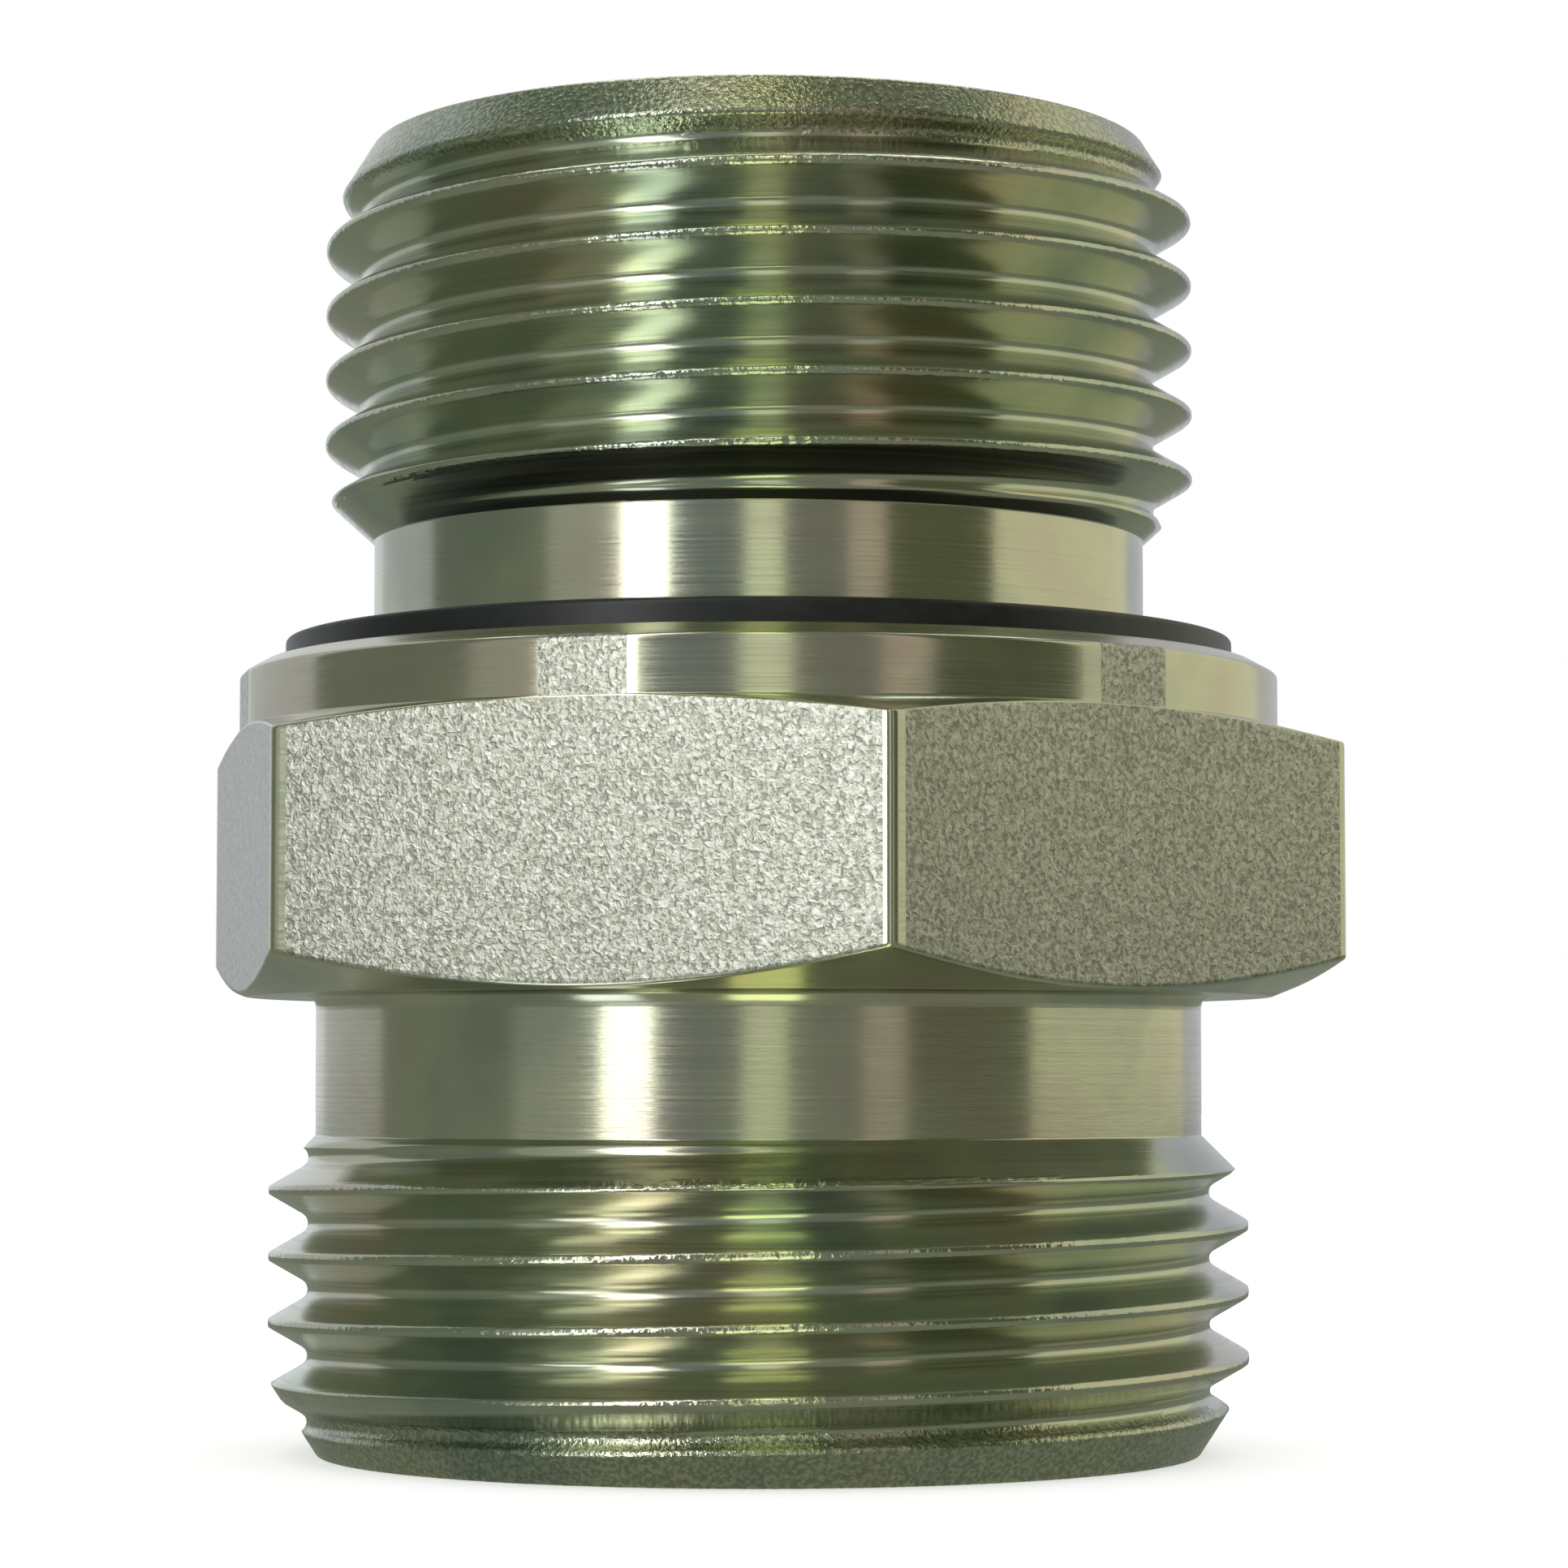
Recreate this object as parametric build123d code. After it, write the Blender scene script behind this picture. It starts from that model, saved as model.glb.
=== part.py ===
from build123d import *
import math
import os

# Straight hydraulic adapter for a 22 mm tube: a 24 degree cone tube end with an M30x2
# thread, a spanner hexagon, a round collar that carries an elastomer seal, and an
# M27x2 stud for the port. Two pieces: the body, forged and turned in one, and the seal.
# It stands on its tube end. +Z runs along the bore towards the stud, the origin is the
# centre of the tube end's face, and one flat of the hexagon looks towards -Y.
# Lengths are in millimetres. Angles of cones are in degrees, from the axis to the side.

# Lengths along the axis
tube_end_length = 24.0       # tube end's face to the collar's sealing face
stud_length = 16.0           # sealing face to the stud's end
hex_underside_z = 13.85
collar_length = 2.05         # sealing face down to the hexagon
neck_length = 3.1            # sealing face to the ramp below the stud's thread

# Both threads, single start and right-hand
thread_pitch = 2.0
thread_flank_angle = 30.0    # each flank, from the plane square to the axis
thread_crest_width = 0.25
thread_depth = 1.19
tube_thread_d = 29.9
stud_thread_d = 26.74
tube_crest_z = 6.36          # height of a crest on the -Y side
stud_crest_z = 37.16

# Tube end
end_face_d = 26.9
end_chamfer_angle = 33.0
tube_runout_z = 9.65         # where the thread has run out into the shoulder
tube_runout_angle = 45.0
shoulder_d = 27.1
shoulder_root_chamfer = 0.3
cone_mouth_d = 24.3
cone_half_angle = 12.0
tube_d = 22.0
tube_clearance = 0.15        # on the diameter
socket_depth = 7.5
bore_d = 18.0
stop_chamfer = 0.4

# Hexagon and collar
hex_across_flats = 31.8
hex_corner_r = 0.35
hex_underside_d = 31.4       # where the bevel under the corners starts
hex_lower_bevel = 68.0
hex_upper_bevel = 75.0
collar_d = 31.86
rim_d = 30.4
rim_bevel_length = 0.4

# Stud
neck_d = 23.7
neck_ramp_angle = 35.0
stud_face_d = 23.9
stud_chamfer_angle = 32.0
stud_mouth_chamfer = 0.8

# Seal and its groove
groove_d = 29.2
groove_depth = 1.1
seal_clearance = 0.06        # radial, inside and outside the seal
seal_proud = 0.85
seal_bevel_width = 0.8
seal_bevel_height = 0.12
seal_lip_width = 1.0
seal_lip_height = 0.55

total_length = tube_end_length + stud_length
hex_top_z = tube_end_length - collar_length
neck_top_z = tube_end_length + neck_length
groove_floor_z = tube_end_length - groove_depth


def cone_length(small_r, large_r, angle):
    """Length along the axis of a cone between two radii."""
    return (large_r - small_r) / math.tan(math.radians(angle))


def turned(points):
    """Solid of revolution about Z of an outline given as (radius, height) points."""
    outline = Polyline(*[(r, 0, z) for r, z in points], close=True)
    return revolve(make_face(outline), Axis.Z, 360)


def tube_end_and_stud():
    """The two turned ends, joined through the middle, before the threads are cut."""
    tube_r = tube_thread_d / 2
    stud_r = stud_thread_d / 2
    neck_r = neck_d / 2
    shoulder_r = shoulder_d / 2
    end_chamfer = cone_length(end_face_d / 2, tube_r, end_chamfer_angle)
    tube_runout = cone_length(shoulder_r, tube_r, tube_runout_angle)
    neck_ramp = cone_length(neck_r, stud_r, neck_ramp_angle)
    stud_chamfer = cone_length(stud_face_d / 2, stud_r, stud_chamfer_angle)
    return turned([
        (0, 0),
        (end_face_d / 2, 0),
        (tube_r, end_chamfer),
        (tube_r, tube_runout_z - tube_runout),
        (shoulder_r, tube_runout_z),
        (shoulder_r, hex_underside_z - shoulder_root_chamfer),
        (shoulder_r + shoulder_root_chamfer, hex_underside_z),
        (neck_r, hex_underside_z),
        (neck_r, neck_top_z),
        (stud_r, neck_top_z + neck_ramp),
        (stud_r, total_length - stud_chamfer),
        (stud_face_d / 2, total_length),
        (0, total_length),
    ])


def hexagon_and_collar():
    """Hexagon blank: bevelled under its corners, and turned to the collar above them.

    The collar is a little wider than the flats, so a narrow strip of each flat runs on
    up to its rim.
    """
    corner_r = hex_across_flats / 2 / math.cos(math.pi / 6)
    outline = fillet(RegularPolygon(corner_r, 6).vertices(), hex_corner_r)
    blank = extrude(outline, tube_end_length - hex_underside_z)
    collar_r = collar_d / 2
    lower_bevel = cone_length(hex_underside_d / 2, corner_r, hex_lower_bevel)
    upper_bevel = cone_length(collar_r, corner_r, hex_upper_bevel)
    return Pos(0, 0, hex_underside_z) * blank & turned([
        (0, hex_underside_z),
        (hex_underside_d / 2, hex_underside_z),
        (corner_r, hex_underside_z + lower_bevel),
        (corner_r, hex_top_z - upper_bevel),
        (collar_r, hex_top_z),
        (collar_r, tube_end_length - rim_bevel_length),
        (rim_d / 2, tube_end_length),
        (0, tube_end_length),
    ])


def seal_groove():
    """Ring-shaped groove in the collar's sealing face, from the neck outwards."""
    return turned([
        (neck_d / 2, groove_floor_z),
        (groove_d / 2, groove_floor_z),
        (groove_d / 2, tube_end_length),
        (neck_d / 2, tube_end_length),
    ])


def thread_space(major_d, crest_z, low_z, high_z):
    """What the thread tool takes away between low_z and high_z, one solid a turn.

    The space has straight flanks and a round root. crest_z is the height of any one
    crest on the -Y side, a quarter of a turn before the +X side, where each turn starts.
    """
    flank = math.radians(thread_flank_angle)
    crest_r = major_d / 2
    half_mouth = (thread_pitch - thread_crest_width) / 2
    apex_depth = half_mouth / math.tan(flank)
    root_r = (apex_depth - thread_depth) / (1 / math.sin(flank) - 1)
    root_centre_r = crest_r - thread_depth + root_r
    tangent_r = root_centre_r - root_r * math.sin(flank)
    tangent_z = root_r * math.cos(flank)
    outer_half = (half_mouth + thread_pitch / 2) / 2
    outer_r = crest_r + (outer_half - half_mouth) / math.tan(flank)
    root = ThreePointArc(
        (tangent_r, -tangent_z),
        (root_centre_r - root_r, 0),
        (tangent_r, tangent_z),
    )
    flanks = Polyline(
        (tangent_r, tangent_z),
        (outer_r, outer_half),
        (outer_r, -outer_half),
        (tangent_r, -tangent_z),
    )
    section = Plane.XZ * make_face(root + flanks)
    turn = sweep(section, Helix(thread_pitch, thread_pitch, crest_r), is_frenet=True)
    root_z = crest_z + thread_pitch / 4 + thread_pitch / 2
    first = math.floor((low_z - root_z) / thread_pitch) - 1
    last = math.ceil((high_z - root_z) / thread_pitch)
    return [Pos(0, 0, root_z + i * thread_pitch) * turn for i in range(first, last + 1)]


def bore():
    """Everything hollow: the tube's cone, its socket and stop, and the flow bore."""
    socket_r = (tube_d + tube_clearance) / 2
    bore_r = bore_d / 2
    cone_depth = cone_length(socket_r, cone_mouth_d / 2, cone_half_angle)
    return turned([
        (0, 0),
        (cone_mouth_d / 2, 0),
        (socket_r, cone_depth),
        (socket_r, socket_depth),
        (bore_r + stop_chamfer, socket_depth),
        (bore_r, socket_depth + stop_chamfer),
        (bore_r, total_length - stud_mouth_chamfer),
        (bore_r + stud_mouth_chamfer, total_length),
        (0, total_length),
    ])


def adapter_body():
    """The body, forged and turned in one piece."""
    body = tube_end_and_stud() + hexagon_and_collar() - seal_groove()
    body -= thread_space(tube_thread_d, tube_crest_z, 0, tube_runout_z)
    body -= thread_space(stud_thread_d, stud_crest_z, neck_top_z, total_length)
    return body - bore()


def seal_ring():
    """Profile seal that sits on the groove's floor and stands proud of the rim."""
    inner_r = neck_d / 2 + seal_clearance
    outer_r = groove_d / 2 - seal_clearance
    top_z = tube_end_length + seal_proud
    return turned([
        (inner_r, groove_floor_z),
        (outer_r, groove_floor_z),
        (outer_r, top_z - seal_bevel_height),
        (outer_r - seal_bevel_width, top_z),
        (inner_r + seal_lip_width, top_z),
        (inner_r, top_z - seal_lip_height),
    ])


os.makedirs("parts", exist_ok=True)
export_step(adapter_body(), "parts/adapter_body.step")
export_step(seal_ring(), "parts/seal_ring.step")
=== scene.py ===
import math

import bmesh
import bpy
import numpy as np
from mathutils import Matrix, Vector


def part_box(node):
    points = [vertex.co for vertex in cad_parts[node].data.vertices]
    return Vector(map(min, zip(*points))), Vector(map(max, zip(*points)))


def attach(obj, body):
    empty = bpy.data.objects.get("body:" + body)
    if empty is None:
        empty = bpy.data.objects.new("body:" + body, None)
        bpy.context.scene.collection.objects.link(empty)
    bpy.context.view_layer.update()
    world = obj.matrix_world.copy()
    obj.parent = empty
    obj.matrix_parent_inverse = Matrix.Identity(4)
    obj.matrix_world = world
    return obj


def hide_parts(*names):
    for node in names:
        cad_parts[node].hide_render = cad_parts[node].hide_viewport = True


# A straight hydraulic adapter: zinc plated steel, turned at both ends, with the hexagon left
# as forged, and a black seal in the collar. It stands on its tube end with +Z along the bore.
# The object's sizes are in millimetres and angles in degrees until they are handed to Blender.
# The studio round it is in metres.

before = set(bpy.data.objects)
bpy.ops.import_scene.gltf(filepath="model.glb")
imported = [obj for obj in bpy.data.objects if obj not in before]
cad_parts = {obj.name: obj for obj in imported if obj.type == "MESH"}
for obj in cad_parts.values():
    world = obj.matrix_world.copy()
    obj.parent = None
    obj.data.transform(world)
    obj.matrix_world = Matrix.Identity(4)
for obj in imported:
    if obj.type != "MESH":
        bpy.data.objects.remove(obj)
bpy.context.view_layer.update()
mm = 0.001
studLength = 16.0  # from the collar's sealing face to the stud's end


def boxInMm(node):
    low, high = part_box(node)
    return np.array(low) / mm, np.array(high) / mm


bodyHigh = boxInMm("adapter_body")[1]
sealLow, sealHigh = boxInMm("seal_ring")
totalLength = bodyHigh[2]
tubeEndLength = totalLength - studLength
print("frame loaded, total length", round(totalLength, 3), "mm")


# Surfaces

meshing = {
    "curveRows": 4,
    "mostOfSide": 0.4,  # share of a side that the rounding at one of its ends may take up
    "flatRow": 1.5,  # the row outside a rounding is this many roundings from the corner,
    "flatRowLimit": 0.48,  # and at most this share of the side
    "shortestSide": 1e-9,
    "mergeDistance": 0.0004,
    "shortestEdge": 0.0002,
}


def smoothMin(a, b, blend):
    # the smaller of two values, rounded off by a parabola where they differ by less than blend
    near = np.maximum(blend - np.abs(a - b), 0) / blend
    return np.minimum(a, b) - near * near * blend / 4


def roundingEnd(corner, other, rounding):
    # on the side from a corner to another: where the rounding ends, and the row just outside it
    side = other - corner
    length = np.maximum(np.hypot(side[0], side[1]), meshing["shortestSide"])
    cut = np.minimum(rounding, meshing["mostOfSide"] * length)
    flat = np.minimum(meshing["flatRow"] * cut, meshing["flatRowLimit"] * length)
    return corner + side / length * cut, corner + side / length * flat


def roundedPath(corners, shape):
    # A path of (radius, height, rounding) corners, worked out for all columns at once. A rounded
    # corner becomes a quadratic curve that starts and ends at that distance from it, with one
    # more row just outside each end, so that the faces beside it stay flat in the light.
    points = [np.array([np.broadcast_to(r, shape), np.broadcast_to(z, shape)], float)
              for r, z, rounding in corners]
    roundings = [rounding for r, z, rounding in corners]
    rows = [points[0]]
    for before, here, after, rounding in zip(points, points[1:], points[2:], roundings[1:]):
        if rounding == 0:
            rows.append(here)
            continue
        start, rowBefore = roundingEnd(here, before, rounding)
        end, rowAfter = roundingEnd(here, after, rounding)
        curve = [(1 - t) ** 2 * start + 2 * t * (1 - t) * here + t * t * end
                 for t in np.linspace(0, 1, meshing["curveRows"])]
        rows += [rowBefore, *curve, rowAfter]
    rows.append(points[-1])
    return rows


def mergePoints(mesh):
    # merges rows that meet in a point or a line, and the last column with the first
    work = bmesh.new()
    work.from_mesh(mesh)
    bmesh.ops.remove_doubles(work, verts=work.verts, dist=meshing["mergeDistance"] * mm)
    bmesh.ops.dissolve_degenerate(work, edges=work.edges, dist=meshing["shortestEdge"] * mm)
    work.to_mesh(mesh)
    work.free()


def closedRing(name, turn, rows, materials, materialOfRow=None, attributes=None):
    # Sweeps a closed loop of rows round Z: x = r sin(turn), y = -r cos(turn), where turn runs a
    # full circle from the -Y side towards +X.
    rows = np.array(rows)
    radius, height = rows[:, 0], rows[:, 1]
    count, columns = radius.shape
    points = np.stack([radius * np.sin(turn), -radius * np.cos(turn), height], axis=-1) * mm
    index = np.arange(count * columns).reshape(count, columns)
    above = np.roll(index, -1, axis=0)
    quads = np.stack([index[:, :-1], index[:, 1:], above[:, 1:], above[:, :-1]], axis=-1)
    mesh = bpy.data.meshes.new(name)
    mesh.from_pydata(points.reshape(-1, 3), [], quads.reshape(-1, 4))
    if materialOfRow is not None:
        mesh.polygons.foreach_set("material_index", materialOfRow.reshape(-1).astype(np.int32))
    for key, values in (attributes or {}).items():
        layer = mesh.attributes.new(key, "FLOAT", "POINT")
        layer.data.foreach_set("value", values.reshape(-1).astype(np.float32))
    for material in materials:
        mesh.materials.append(material)
    mergePoints(mesh)
    mesh.polygons.foreach_set("use_smooth", np.ones(len(mesh.polygons), bool))
    mesh.update()
    piece = bpy.data.objects.new(name, mesh)
    bpy.context.collection.objects.link(piece)
    triangles = sum(len(p.vertices) - 2 for p in mesh.polygons)
    print(name, "made with", triangles, "triangles")
    return piece


# Materials

def linear(hexColour):
    # sRGB hex to linear light: a straight line near black, a power of 2.4 above it
    values = [int(hexColour[i:i + 2], 16) / 255 for i in (1, 3, 5)]
    return [v / 12.92 if v <= 0.04045 else ((v + 0.055) / 1.055) ** 2.4 for v in values] + [1]


def addNode(tree, kind, settings=None, inputs=None, stops=()):
    # One node with its settings, its inputs given as values or as the sockets they come from,
    # and a colour ramp's stops given as places with hex colours.
    node = tree.nodes.new(kind)
    for key, value in (settings or {}).items():
        setattr(node, key, value)
    for key, value in (inputs or {}).items():
        if isinstance(value, bpy.types.NodeSocket):
            tree.links.new(value, node.inputs[key])
        else:
            node.inputs[key].default_value = value
    for stop in stops[2:]:
        node.color_ramp.elements.new(0.5)
    for i, (place, colour) in enumerate(stops):
        node.color_ramp.elements[i].position = place
        node.color_ramp.elements[i].color = linear(colour)
    return node


def makeMaterial(name, surface, *looks):
    # a material whose shader the function surface adds, from what it should look like
    material = bpy.data.materials.new(name)
    material.use_nodes = True
    tree = material.node_tree
    tree.nodes.clear()
    shader = surface(tree, *looks)
    addNode(tree, "ShaderNodeOutputMaterial", inputs={"Surface": shader.outputs[0]})
    return material


turnedLook = {
    # olive grey, straw and faint pink of the plating, and yellower in the threads
    "shade": ((0.35, "#b0b5a4"), (0.5, "#c4c6ac"), (0.65, "#c1bba8")),
    "threadShade": ((0.35, "#a6afa0"), (0.5, "#bbc2aa"), (0.65, "#c2bea8")),
    "patch": 6.0,  # size of the tint's patches
    "groove": 0.09,  # spacing of the fine lines that the turning tool leaves
    "grooveRun": 12,  # changes along a line, a metre
    "grooveRange": (0.3, 0.7),  # heights of the lines that give the two roughnesses
    "grooveDepth": 0.0018,
    "smear": (1.2, 0.16),  # length and height of the uneven patches between the lines
    "smearDepth": 0.003,
    "roughness": (0.13, 0.26),
    "anisotropy": 0.6,
    "quarterTurn": 0.25,  # stretches the reflections along the axis
    "nick": 0.3,  # size of the nicks along a crest
    "nickDepth": 0.05,
    "grain": 0.14,  # size of the dull grain on the end chamfers
    "grainDepth": 0.03,
    "grainShade": ((0.38, "#ffffff"), (0.6, "#ccd0c6")),
}


def platingColour(tree, place, look):
    patches = addNode(tree, "ShaderNodeTexNoise", inputs={
        "Vector": place, "Scale": 1 / (look["patch"] * mm), "Detail": 3.0}).outputs["Fac"]
    smooth = addNode(tree, "ShaderNodeValToRGB", inputs={"Fac": patches}, stops=look["shade"])
    yellow = addNode(
        tree, "ShaderNodeValToRGB", inputs={"Fac": patches}, stops=look["threadShade"])
    thread = addNode(tree, "ShaderNodeAttribute", {"attribute_name": "thread"})
    return addNode(tree, "ShaderNodeMix", {"data_type": "RGBA"}, {
        "Factor": thread.outputs["Fac"], "A": smooth.outputs["Color"],
        "B": yellow.outputs["Color"]}).outputs["Result"]


def toolLines(tree, place, look):
    run = look["grooveRun"]
    rings = addNode(tree, "ShaderNodeMapping", inputs={
        "Vector": place, "Scale": (run, run, 1 / (look["groove"] * mm))})
    return addNode(tree, "ShaderNodeTexNoise", inputs={
        "Vector": rings.outputs[0], "Scale": 1.0, "Detail": 3.0, "Roughness": 0.6}).outputs["Fac"]


def toolSmears(tree, place, look):
    length, height = look["smear"]
    flat = addNode(tree, "ShaderNodeMapping", inputs={
        "Vector": place, "Scale": (1 / (length * mm), 1 / (length * mm), 1 / (height * mm))})
    return addNode(tree, "ShaderNodeTexNoise", inputs={
        "Vector": flat.outputs[0], "Scale": 1.0, "Detail": 4.0, "Roughness": 0.7}).outputs["Fac"]


def grainWhere(tree, place, size, mark):
    # a grain of this size, only where the mesh carries the mark
    grain = addNode(tree, "ShaderNodeTexNoise", inputs={
        "Vector": place, "Scale": 1 / (size * mm), "Detail": 2.0})
    marked = addNode(tree, "ShaderNodeAttribute", {"attribute_name": mark})
    return addNode(tree, "ShaderNodeMath", {"operation": "MULTIPLY"}, {
        0: grain.outputs["Fac"], 1: marked.outputs["Fac"]}).outputs[0]


def turnedZincPlatedSteel(tree, look):
    # Zinc plated and yellow passivated over turned steel: a bright metal with an olive cast. The
    # fine rings of the turning tool stretch each reflection along the axis into a streak.
    place = addNode(tree, "ShaderNodeTexCoord").outputs["Object"]
    lines = toolLines(tree, place, look)
    smears = toolSmears(tree, place, look)
    nicks = grainWhere(tree, place, look["nick"], "crest")
    grain = grainWhere(tree, place, look["grain"], "chamfer")
    dull = addNode(tree, "ShaderNodeValToRGB", inputs={"Fac": grain}, stops=look["grainShade"])
    colour = addNode(tree, "ShaderNodeMix", {"data_type": "RGBA", "blend_type": "MULTIPLY"}, {
        "Factor": 1.0, "A": platingColour(tree, place, look), "B": dull.outputs["Color"]})
    rough = addNode(tree, "ShaderNodeMapRange", inputs={
        "Value": lines, "From Min": look["grooveRange"][0], "From Max": look["grooveRange"][1],
        "To Min": look["roughness"][0], "To Max": look["roughness"][1]})
    normal = {}
    for relief, depth in ((lines, "grooveDepth"), (smears, "smearDepth"),
                          (nicks, "nickDepth"), (grain, "grainDepth")):
        bump = addNode(tree, "ShaderNodeBump", inputs={
            "Height": relief, "Distance": look[depth] * mm, "Strength": 1.0, **normal})
        normal = {"Normal": bump.outputs[0]}
    along = addNode(tree, "ShaderNodeTangent", {"direction_type": "RADIAL", "axis": "Z"})
    return addNode(tree, "ShaderNodeBsdfPrincipled", inputs={
        "Base Color": colour.outputs["Result"], "Metallic": 1.0, "Roughness": rough.outputs[0],
        "Anisotropic": look["anisotropy"], "Anisotropic Rotation": look["quarterTurn"],
        "Tangent": along.outputs[0], **normal})


forgedLook = {
    "shade": ((0.36, "#84867b"), (0.5, "#a4a699"), (0.66, "#bdbeb5")),  # pits, skin, worn tops
    "grain": 0.16,  # spacing of the curls that blasting leaves
    "grainDepth": 0.018,
    "roughness": 0.3,
}


def blastedForgedSteel(tree, look):
    # The forging's own skin, blasted and then plated: a coarse sparkling grain of curled ridges.
    place = addNode(tree, "ShaderNodeTexCoord").outputs["Object"]
    grain = addNode(tree, "ShaderNodeTexNoise", inputs={
        "Vector": place, "Scale": 1 / (look["grain"] * mm), "Detail": 2.0,
        "Roughness": 0.55, "Distortion": 0.7}).outputs["Fac"]
    colour = addNode(tree, "ShaderNodeValToRGB", inputs={"Fac": grain}, stops=look["shade"])
    bump = addNode(tree, "ShaderNodeBump", inputs={
        "Height": grain, "Distance": look["grainDepth"] * mm, "Strength": 1.0})
    return addNode(tree, "ShaderNodeBsdfPrincipled", inputs={
        "Base Color": colour.outputs["Color"], "Metallic": 1.0, "Roughness": look["roughness"],
        "Normal": bump.outputs[0]})


sealLook = {
    "shade": ((0.35, "#0d1311"), (0.65, "#141c19")),
    "mottle": 0.6,
    "mottleDepth": 0.004,
    "roughness": 0.38,
}


def mouldedElastomer(tree, look):
    # Moulded nitrile rubber: near black with a little green, and a soft low sheen.
    place = addNode(tree, "ShaderNodeTexCoord").outputs["Object"]
    mottle = addNode(tree, "ShaderNodeTexNoise", inputs={
        "Vector": place, "Scale": 1 / (look["mottle"] * mm), "Detail": 4.0}).outputs["Fac"]
    colour = addNode(tree, "ShaderNodeValToRGB", inputs={"Fac": mottle}, stops=look["shade"])
    bump = addNode(tree, "ShaderNodeBump", inputs={
        "Height": mottle, "Distance": look["mottleDepth"] * mm, "Strength": 1.0})
    return addNode(tree, "ShaderNodeBsdfPrincipled", inputs={
        "Base Color": colour.outputs["Color"], "Roughness": look["roughness"],
        "Normal": bump.outputs[0]})


# Body

body = {
    "pitch": 2.0,
    "crestWidth": 0.25,
    "threadDepth": 1.19,
    "flankAngle": 30.0,  # from the plane square to the axis
    "threadStart": 0.15,  # the threads' rows start this far from the end faces
    "envelopeBlend": 0.05,
    "crestMark": (1.6, 0.35),  # reach of the nicks from a crest, in half crest widths, and depth
    "tubeCrestR": 14.95,
    "tubeCrestZ": 6.36,  # height of a crest on the -Y side
    "tubeCrestBlend": 0.06,
    "endFaceR": 13.45,
    "endChamferAngle": 33.0,
    "endChamferTopZ": 1.6,  # the dull grain ends here
    "shoulderR": 13.55,
    "shoulderZ": 9.65,
    "shoulderFillet": 0.35,
    "runoutAngle": 45.0,
    "hexLowZ": 13.85,
    "hexTopZ": tubeEndLength - 2.05,
    "hexFlatR": 15.9,
    "hexHollow": 0.03,  # the forged flats are this much lower in the middle
    "hexCornerR": 0.35,
    "cornerStartR": 18.17,  # beyond this radius the hexagon's corner is smooth, not forged
    "hexUndersideR": 15.7,
    "hexLowerBevel": 22.0,  # from the plane square to the axis
    "hexUpperBevel": 15.0,
    "collarR": 15.93,
    "rimR": 15.2,
    "rimBevelLength": 0.4,
    "grooveR": 14.6,
    "grooveFloorZ": sealLow[2],
    "neckR": 11.85,
    "neckTopZ": tubeEndLength + 3.8,  # where the ramp below the stud's thread starts
    "neckRampAngle": 48.0,
    "studCrestR": 13.37,
    "studCrestZ": 37.16,
    "studCrestBlend": 0.16,
    "studFaceR": 11.95,
    "studChamferAngle": 32.0,
    "studChamferLowZ": totalLength - 1.7,  # the dull grain starts here
    "boreR": 9.0,
    "mouthChamfer": 0.8,
    "stopChamfer": 0.4,
    "socketDepth": 7.5,
    "socketR": 11.075,
    "coneMouthR": 12.15,
    "coneDepth": 5.06,
    "crease": 0.03,  # distance of the rows that hold the light beside an inner corner
    "fineEdge": 0.05,  # distance from a corner at which its rounding starts
    "faceEdge": 0.08,
    "hexEdge": 0.1,
}


def columnTurns():
    # One sixth of a turn is cut finely at its corner and evenly along the flat, and repeated. The
    # corners lie 30 degrees either side of each flat's middle, and a flat looks towards -Y.
    nearCorner = np.array([0.14, 0.28, 0.42, 0.56, 0.8, 1.25, 2.0, 3.0])
    alongFlat = np.linspace(4.3, 30, 20)
    half = np.concatenate([nearCorner, alongFlat])
    sixth = np.concatenate([[0], half, 60 - half[-2::-1]])
    turns = (30 + np.add.outer(np.arange(6) * 60, sixth).reshape(-1)) % 360
    return np.radians(np.append(np.sort(turns), 360))


def hexagonRadius(turn, look):
    # distance from the axis to a hexagon with rounded corners and slightly hollow flats: on a
    # flat, its distance over the cosine of the angle from its middle; at a corner, a small circle
    sixth = math.pi / 3
    fromFlat = np.abs((turn + sixth / 2) % sixth - sixth / 2)
    hollow = look["hexHollow"] * np.cos(fromFlat / (sixth / 2) * math.pi / 2) ** 2
    flat = (look["hexFlatR"] - hollow) / np.cos(fromFlat)
    fromCorner = sixth / 2 - fromFlat
    centre = (look["hexFlatR"] - look["hexCornerR"]) / math.cos(sixth / 2)
    across = np.minimum(centre * np.sin(fromCorner), look["hexCornerR"])
    corner = centre * np.cos(fromCorner) + np.sqrt(look["hexCornerR"] ** 2 - across ** 2)
    tangent = sixth / 2 - math.atan(centre * math.sin(sixth / 2) / look["hexFlatR"])
    return np.where(fromCorner < tangent, corner, flat)


def threadRoot(look):
    # radius of the thread's round root, and half its width between the flanks
    flank = math.radians(look["flankAngle"])
    apexDepth = (look["pitch"] / 2 - look["crestWidth"] / 2) * (1 / math.tan(flank))
    rootR = (apexDepth - look["threadDepth"]) / (1 / math.sin(flank) - 1)
    return rootR, rootR * math.cos(flank)


def placesAcrossPitch(look):
    # where the rows of one pitch lie, from the middle of the crest: on it, the flanks and the root
    halfPitch = look["pitch"] / 2
    halfCrest = look["crestWidth"] / 2
    rootHalf = threadRoot(look)[1]
    half = np.concatenate([
        [0.0, 0.5 * halfCrest, halfCrest, 1.5 * halfCrest],
        np.linspace(2.3 * halfCrest, halfPitch - rootHalf, 4),
        halfPitch - rootHalf * np.array([0.66, 0.33]),
    ])
    return np.concatenate([-half[:0:-1], half, [halfPitch]])


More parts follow.
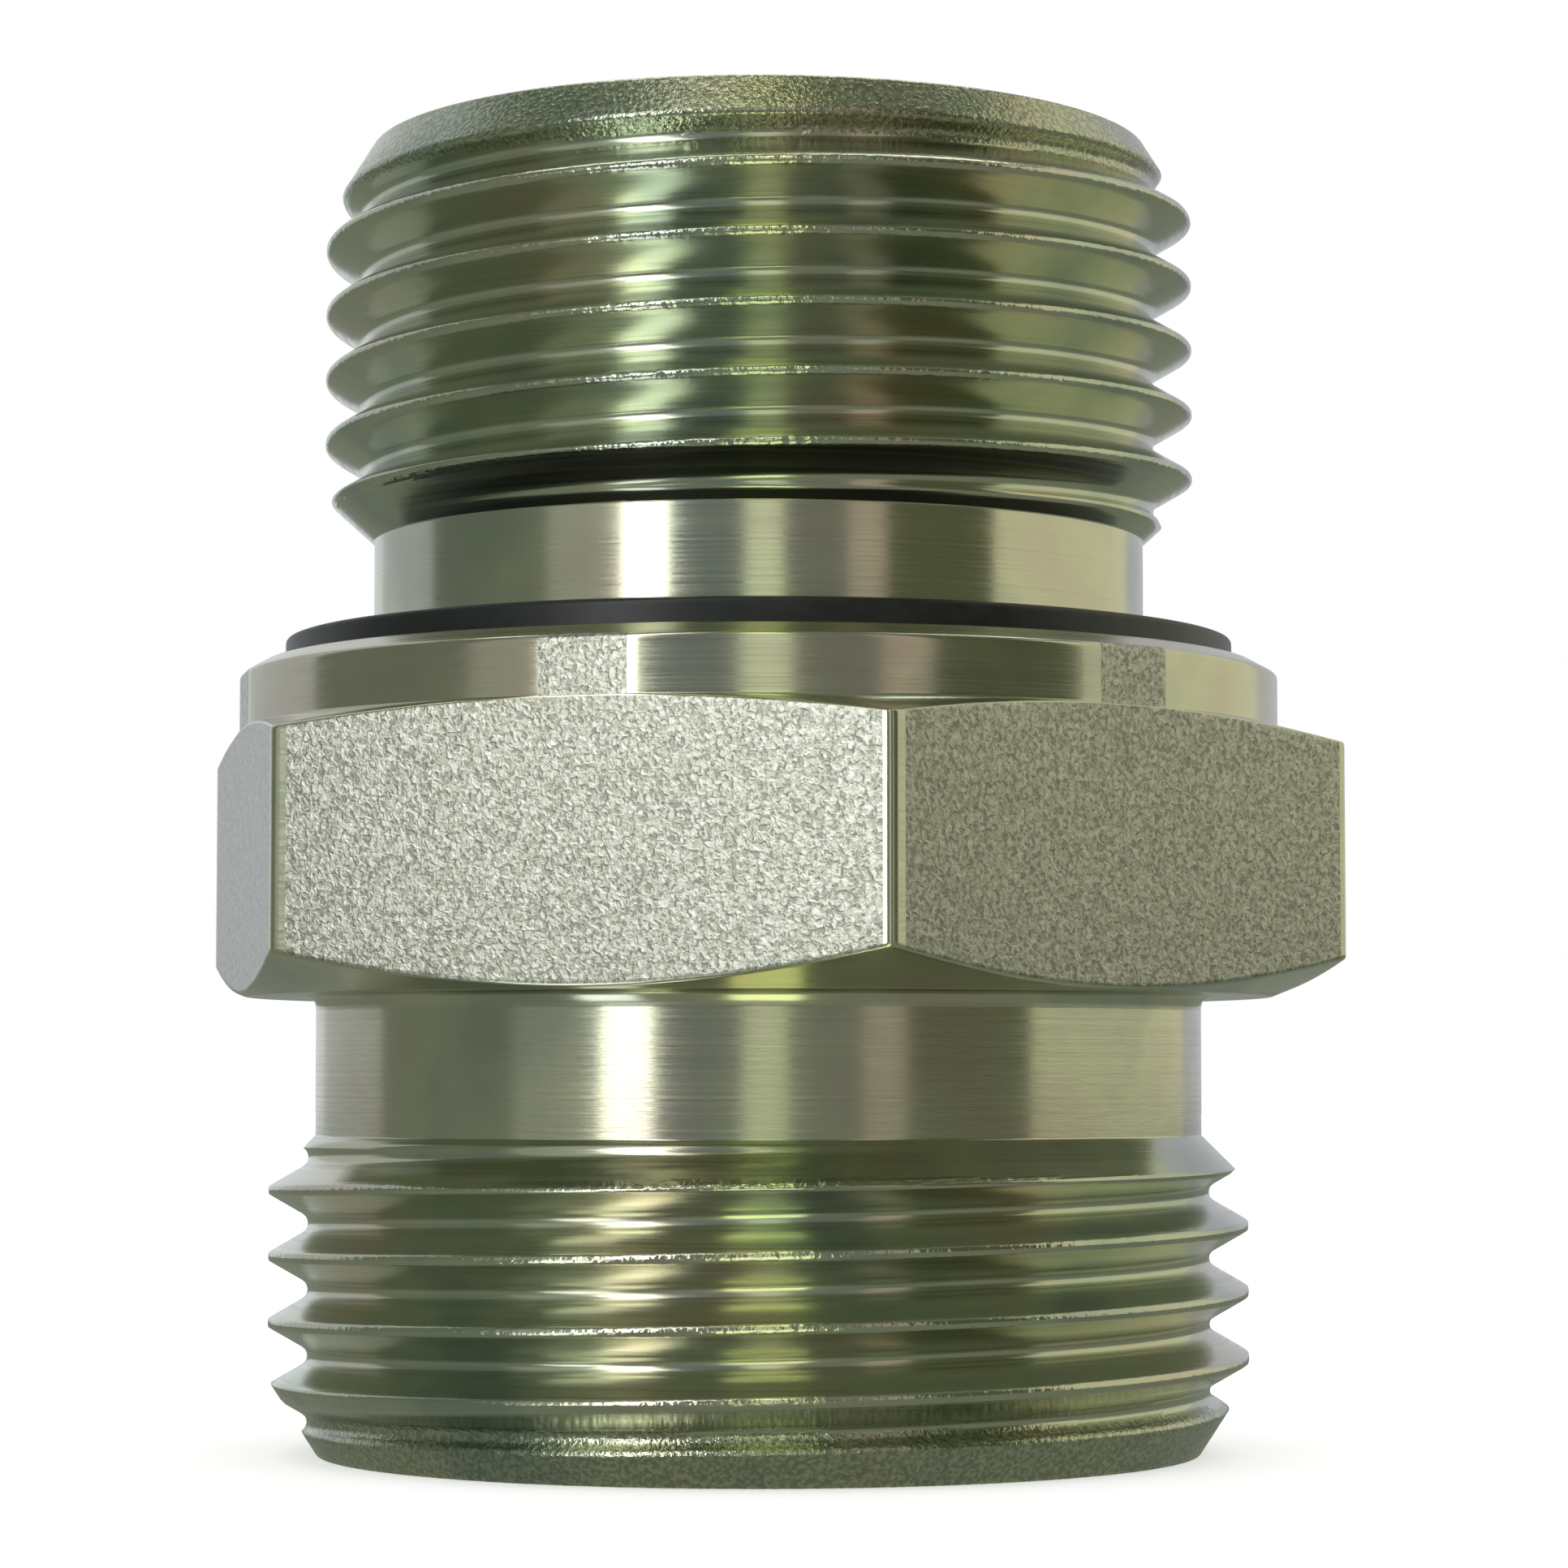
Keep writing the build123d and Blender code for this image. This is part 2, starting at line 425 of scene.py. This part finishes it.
def threadRadius(place, look, crestR, blend):
    # radius of the thread at a distance along the axis from the middle of its nearest crest
    steepness = 1 / math.tan(math.radians(look["flankAngle"]))
    flank = crestR - steepness * (place - look["crestWidth"] / 2)
    radius = smoothMin(np.full_like(flank, crestR), flank, blend)
    rootR, rootHalf = threadRoot(look)
    fromRoot = look["pitch"] / 2 - place
    rootCentre = crestR - look["threadDepth"] + rootR
    root = rootCentre - np.sqrt(rootR ** 2 - np.minimum(fromRoot, rootHalf) ** 2)
    return np.where(fromRoot < rootHalf, root, radius)


def threadRows(turn, look, crestR, crestZ, blend, lowZ, highZ, envelope):
    # Rows that climb one pitch a turn, cut off at both ends of the thread. Across a pitch the
    # surface is a narrow crest, two straight flanks and a round root, and it never stands outside
    # the envelope turned before threading. The second result is 1 on a crest and 0 away from it.
    pitch = look["pitch"]
    first = math.floor((lowZ - crestZ) / pitch) - 1
    last = math.ceil((highZ - crestZ) / pitch) + 1
    starts = crestZ + pitch * np.arange(first, last)
    climb = pitch * turn / (2 * math.pi)
    z = np.add.outer(np.add.outer(starts, placesAcrossPitch(look)).reshape(-1), climb)
    z = z[(z.max(axis=1) > lowZ) & (z.min(axis=1) < highZ)]
    low, high = [np.full((1, turn.size), end) for end in (lowZ, highZ)]
    z = np.concatenate([low, np.clip(z, lowZ + look["crease"], highZ - look["crease"]), high])
    place = np.abs((z - crestZ - climb + pitch / 2) % pitch - pitch / 2)
    radius = threadRadius(place, look, crestR, blend)
    radius = smoothMin(radius, envelope(z), look["envelopeBlend"])
    reach, depth = look["crestMark"]
    crest = np.clip(1 - place / (reach * look["crestWidth"] / 2), 0, 1) * (radius > crestR - depth)
    return list(np.stack([radius, z], axis=1)), crest


def cone(radius, height, angle, direction):
    # radius of a cone that opens by angle from the axis, upwards or downwards from a height
    slope = math.tan(math.radians(angle)) * direction
    return lambda z: radius + slope * (z - height)


def hexagonEdges(hexR, look):
    # heights of the hexagon's lower and upper edge, which its bevels draw together at the corners
    lowerSlope = math.tan(math.radians(look["hexLowerBevel"]))
    upperSlope = math.tan(math.radians(look["hexUpperBevel"]))
    low = look["hexLowZ"] + (hexR - look["hexUndersideR"]) * lowerSlope
    high = look["hexTopZ"] - (hexR - np.minimum(hexR, look["collarR"])) * upperSlope
    return low, high


def shoulderRows(hexR, look):
    return roundedPath([
        (look["shoulderR"], look["shoulderZ"], 0),
        (look["shoulderR"], look["shoulderZ"] + look["crease"], 0),
        (look["shoulderR"], look["hexLowZ"], look["shoulderFillet"]),
        (look["hexUndersideR"], look["hexLowZ"], look["fineEdge"]),
        (hexR, hexagonEdges(hexR, look)[0], 0),
    ], hexR.shape)[:-1]


def wallRows(hexR, look):
    hexLow, hexHigh = hexagonEdges(hexR, look)
    return roundedPath([
        (look["hexUndersideR"], look["hexLowZ"], 0),
        (hexR, hexLow, look["hexEdge"]),
        (hexR, hexHigh, look["hexEdge"]),
        (np.minimum(hexR, look["collarR"]), look["hexTopZ"], 0),
    ], hexR.shape)[1:]


def collarRows(hexR, look):
    # the collar, which the flats cut into, then its rim, the seal's groove and the neck
    collarR = np.minimum(hexR, look["collarR"])
    return roundedPath([
        (collarR, look["hexTopZ"], 0),
        (collarR, look["hexTopZ"] + look["crease"], 0),
        (collarR, tubeEndLength - look["rimBevelLength"], look["hexEdge"]),
        (look["rimR"], tubeEndLength, look["faceEdge"]),
        (look["grooveR"], tubeEndLength, look["fineEdge"]),
        (look["grooveR"], look["grooveFloorZ"], look["fineEdge"]),
        (look["neckR"], look["grooveFloorZ"], look["fineEdge"]),
        (look["neckR"], look["neckTopZ"] - look["crease"], 0),
        (look["neckR"], look["neckTopZ"], 0),
    ], hexR.shape)[1:-1]


def insideRows(studEnd, tubeEnd, shape, look):
    # from the stud's last row over its face, down the bore, and out over the tube end's face
    return roundedPath([
        (*studEnd, 0),
        (look["studFaceR"], totalLength, look["faceEdge"]),
        (look["boreR"] + look["mouthChamfer"], totalLength, look["fineEdge"]),
        (look["boreR"], totalLength - look["mouthChamfer"], look["fineEdge"]),
        (look["boreR"], look["socketDepth"] + look["stopChamfer"], look["fineEdge"]),
        (look["boreR"] + look["stopChamfer"], look["socketDepth"], look["fineEdge"]),
        (look["socketR"], look["socketDepth"], look["fineEdge"]),
        (look["socketR"], look["coneDepth"], look["fineEdge"]),
        (look["coneMouthR"], 0, look["faceEdge"]),
        (look["endFaceR"], 0, look["faceEdge"]),
        (*tubeEnd, 0),
    ], shape)[1:-1]


def forgedFaces(hexR, look, rowCount, wallRow, collarRow):
    # 1 for the faces with the forging's skin: the flats, and the narrow strip of each that runs on
    # up the collar, where the flat lies inside it. The limits are rows within rounded edges.
    forged = np.zeros((rowCount, hexR.size - 1), int)
    lowerEdge, upperEdge = wallRow + 3, wallRow + 8
    forged[lowerEdge:upperEdge] = (hexR < look["cornerStartR"])[:-1]
    stripFoot, rimEdge = collarRow - 4, collarRow + 6
    forged[stripFoot:rimEdge] |= (hexR < look["collarR"])[:-1]
    return forged


def makeBody(look, materials):
    turn = columnTurns()
    hexR = hexagonRadius(turn, look)
    lowZ, highZ = look["threadStart"], totalLength - look["threadStart"]
    tubeStart = cone(look["endFaceR"], 0, look["endChamferAngle"], 1)
    tubeStop = cone(look["shoulderR"], look["shoulderZ"], look["runoutAngle"], -1)
    studStart = cone(look["neckR"], look["neckTopZ"], look["neckRampAngle"], 1)
    studStop = cone(look["studFaceR"], totalLength, look["studChamferAngle"], -1)
    tubeThread, tubeCrest = threadRows(
        turn, look, look["tubeCrestR"], look["tubeCrestZ"], look["tubeCrestBlend"],
        lowZ, look["shoulderZ"], lambda z: np.minimum(tubeStart(z), tubeStop(z)))
    studThread, studCrest = threadRows(
        turn, look, look["studCrestR"], look["studCrestZ"], look["studCrestBlend"],
        look["neckTopZ"], highZ, lambda z: np.minimum(studStart(z), studStop(z)))
    shoulder, wall, collar = [make(hexR, look) for make in (shoulderRows, wallRows, collarRows)]
    inside = insideRows((studStop(highZ), highZ), (tubeStart(lowZ), lowZ), turn.shape, look)
    rows = tubeThread + shoulder + wall + collar + studThread + inside
    wallRow = len(tubeThread) + len(shoulder)
    collarRow = wallRow + len(wall)
    forged = forgedFaces(hexR, look, len(rows), wallRow, collarRow)
    crest, thread = np.zeros((2, len(rows), turn.size))
    for start, marks in ((0, tubeCrest), (collarRow + len(collar), studCrest)):
        crest[start:start + len(marks)] = marks
        thread[start:start + len(marks)] = 1
    heights = np.array(rows)[:, 1]
    ends = (heights < look["endChamferTopZ"]) | (heights > look["studChamferLowZ"])
    return closedRing("adapterBody", turn, rows, materials, forged, {
        "crest": crest, "thread": thread, "chamfer": ends.astype(float)})


turnedSteel = makeMaterial("turnedZincPlatedSteel", turnedZincPlatedSteel, turnedLook)
forgedSteel = makeMaterial("blastedForgedSteel", blastedForgedSteel, forgedLook)
adapterBody = makeBody(body, [turnedSteel, forgedSteel])
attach(adapterBody, "root")
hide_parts("adapter_body")


# Seal

seal = {
    "innerR": 11.91,
    "outerR": sealHigh[0],
    "lowZ": sealLow[2],
    "topZ": sealHigh[2],
    "bevelWidth": 0.8,
    "bevelHeight": 0.12,
    "lipWidth": 1.0,
    "lipHeight": 0.55,
    "rounding": 0.12,
    "lowRounding": 0.1,
    "columns": 240,
}


def makeSeal(look, material):
    turn = np.radians(np.linspace(0, 360, look["columns"] + 1))
    middleR = (look["innerR"] + look["outerR"]) / 2
    rows = roundedPath([
        (middleR, look["lowZ"], 0),
        (look["outerR"], look["lowZ"], look["lowRounding"]),
        (look["outerR"], look["topZ"] - look["bevelHeight"], look["rounding"]),
        (look["outerR"] - look["bevelWidth"], look["topZ"], look["rounding"]),
        (look["innerR"] + look["lipWidth"], look["topZ"], look["rounding"]),
        (look["innerR"], look["topZ"] - look["lipHeight"], look["rounding"]),
        (look["innerR"], look["lowZ"], look["lowRounding"]),
        (middleR, look["lowZ"], 0),
    ], turn.shape)[:-1]
    return closedRing("sealRing", turn, rows, [material])


sealRing = makeSeal(seal, makeMaterial("mouldedElastomer", mouldedElastomer, sealLook))
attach(sealRing, "root")
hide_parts("seal_ring")


# Camera

view = {
    "azimuth": 18.6,
    "distance": 143.33,  # from the axis
    "height": 11.25,
    "tilt": 3.67,
    "panRight": 0.311,
    "lens": 106.85,
    "sensor": 36,
    "clip": (0.01, 20),  # metres
}


def makeCamera(look):
    camera = bpy.data.objects.new("camera", bpy.data.cameras.new("camera"))
    bpy.context.collection.objects.link(camera)
    turn = math.radians(look["azimuth"])
    camera.location = (look["distance"] * math.sin(turn) * mm,
                       -look["distance"] * math.cos(turn) * mm, look["height"] * mm)
    camera.rotation_euler = (math.radians(90 + look["tilt"]), 0,
                             math.radians(look["azimuth"] - look["panRight"]))
    camera.data.lens = look["lens"]
    camera.data.sensor_width = look["sensor"]
    camera.data.clip_start, camera.data.clip_end = look["clip"]
    bpy.context.scene.camera = camera


makeCamera(view)


# Studio

studio = {  # lengths in metres
    "floorSize": 3.0,
    "floorColour": "#f4f4f2",
    "cardDistance": 0.6,
    "cardFoot": -0.02,
    "cardHeight": 0.75,
    "cardStep": 3.0,  # degrees
    "discStep": 6,  # degrees
    "fill": 0.9,
    "floorLift": 0.45,  # glow that makes the floor white to the camera and in reflections
    "matHeight": 0.02 * mm,
    "matColour": "#868c80",
    "ceilingColour": "#7c8476",
    "wedgePlace": {"low": (0.05 * mm, 0.022, 0.06), "high": (0.745, 0.2, 0.5)},  # height, radii
    "wedges": [  # sectors near the mat and the ceiling that light the threads, given as the cards
        ("softboxLowWedge", "low", -39.5, -26.5, "#ffffff", 2.2),
        ("softboxHighWedge", "high", -39.5, -26.5, "#ffffff", 3.0),
        ("frontLowWedge", "low", -6, 9, "#e6efb6", 2.2),
        ("frontHighWedge", "high", -6, 9, "#e6efb6", 3.3),
        ("rimWedge", "high", 125, 235, "#f4f6f0", 2.6),
    ],
    "cards": [  # from and to, in degrees round from the camera's azimuth, colour, brightness
        ("behindCard", -190, -150, "#dde1e6", 1.05),
        ("farLeftCard", -150, -111, "#cdd1d6", 0.95),
        ("darkLeftCard", -111, -64, "#838b80", 0.9),
        ("leftCard", -64, -39.5, "#bfc3bc", 0.85),
        ("softboxCard", -39.5, -26.5, "#ffffff", 4.6),
        ("greyCard", -26.5, -4, "#848f96", 0.8),
        ("frontCard", -4, 7, "#e9efd8", 1.15),
        ("duskCard", 7, 26, "#878786", 0.9),
        ("pinkCard", 26, 37, "#c6b8b0", 1.0),
        ("darkRightCard", 37, 72, "#62654f", 0.95),
        ("rightCard", 72, 140, "#d3d0ba", 1.25),
        ("farRightCard", 140, 170, "#cdcdd6", 0.95),
    ],
}


def glow(tree, colour, brightness):
    return addNode(tree, "ShaderNodeEmission", inputs={
        "Color": linear(colour), "Strength": brightness})


def addMesh(name, points, faces, material):
    mesh = bpy.data.meshes.new(name)
    mesh.from_pydata(points, [], faces)
    mesh.materials.append(material)
    shape = bpy.data.objects.new(name, mesh)
    bpy.context.collection.objects.link(shape)
    return shape


def addCard(name, points, faces, colour, brightness):
    # a glowing surface that only reflections see
    card = addMesh(name, points, faces, makeMaterial(name, glow, colour, brightness))
    card.visible_camera = False
    card.visible_diffuse = False
    card.visible_shadow = False


def addBand(name, edges, start, stop, fewest, colour, brightness):
    # A card between two edges, each a (radius, height), that runs round Z between two angles
    # from the camera's azimuth, in at least this many columns.
    count = max(fewest, int((stop - start) / studio["cardStep"]))
    turn = np.radians(view["azimuth"] + np.linspace(start, stop, count))
    radius, height = np.array(edges).T
    x = np.multiply.outer(radius, np.sin(turn))
    y = np.multiply.outer(-radius, np.cos(turn))
    z = np.multiply.outer(height, np.ones(count))
    index = np.arange(count - 1)
    quads = np.stack([index, index + 1, index + 1 + count, index + count], axis=-1)
    addCard(name, np.stack([x, y, z], axis=-1).reshape(-1, 3), quads, colour, brightness)


def makeCard(look, name, start, stop, colour, brightness):
    # A tall card, curved round Z. Its foot is hidden below the floor.
    edges = [(look["cardDistance"], look[end]) for end in ("cardFoot", "cardHeight")]
    addBand(name, edges, start, stop, 2, colour, brightness)


def makeDisc(look, name, height, colour):
    # A round card that closes the ring of tall cards, below or above.
    turn = np.radians(np.arange(0, 360, look["discStep"]))
    rim = np.stack([np.sin(turn), -np.cos(turn), 0 * turn], axis=-1) * look["cardDistance"]
    rim[:, 2] = height
    addCard(name, rim, [tuple(range(len(rim)))], colour, 1.0)


def makeWedge(look, name, part, start, stop, colour, brightness):
    # A sector between two radii, just above the mat or just below the ceiling.
    height, *reach = look["wedgePlace"][part]
    edges = [(radius, height) for radius in reach]
    addBand(name, edges, start, stop, 6, colour, brightness)


def seenDirectly(tree):
    # 1 for rays from the camera and for those that glossy or clear things send out, else 0
    ray = addNode(tree, "ShaderNodeLightPath").outputs
    seen = addNode(tree, "ShaderNodeMath", {"operation": "MAXIMUM"}, {
        0: ray["Is Camera Ray"], 1: ray["Is Glossy Ray"]})
    return addNode(tree, "ShaderNodeMath", {"operation": "MAXIMUM"}, {
        0: seen.outputs[0], 1: ray["Is Transmission Ray"]}).outputs[0]


def paleFloor(tree, look):
    matt = addNode(tree, "ShaderNodeBsdfDiffuse", inputs={"Color": linear(look["floorColour"])})
    lift = addNode(tree, "ShaderNodeMath", {"operation": "MULTIPLY"}, {
        0: seenDirectly(tree), 1: look["floorLift"]})
    light = addNode(tree, "ShaderNodeEmission", inputs={"Strength": lift.outputs[0]})
    return addNode(tree, "ShaderNodeAddShader", inputs={
        0: matt.outputs[0], 1: light.outputs[0]})


def makeFloor(look):
    half = look["floorSize"] / 2
    corners = [(-half, -half, 0), (half, -half, 0), (half, half, 0), (-half, half, 0)]
    addMesh("floor", corners, [(0, 1, 2, 3)], makeMaterial("paleFloor", paleFloor, look))


def makeWorld(look):
    # White where the camera and reflections see it, and a plain soft fill for everything else.
    world = bpy.data.worlds.new("paleStudio")
    bpy.context.scene.world = world
    world.use_nodes = True
    tree = world.node_tree
    tree.nodes.clear()
    strength = addNode(tree, "ShaderNodeMapRange", inputs={
        "Value": seenDirectly(tree), "To Min": look["fill"], "To Max": 1.0})
    light = addNode(tree, "ShaderNodeBackground", inputs={
        "Color": (1, 1, 1, 1), "Strength": strength.outputs[0]})
    addNode(tree, "ShaderNodeOutputWorld", inputs={"Surface": light.outputs[0]})


makeFloor(studio)
makeWorld(studio)
for card in studio["cards"]:
    makeCard(studio, *card)
makeDisc(studio, "darkMat", studio["matHeight"], studio["matColour"])
makeDisc(studio, "ceilingCard", studio["cardHeight"], studio["ceilingColour"])
for wedge in studio["wedges"]:
    makeWedge(studio, *wedge)
print("studio ready")

bpy.context.scene.view_settings.view_transform = "Standard"
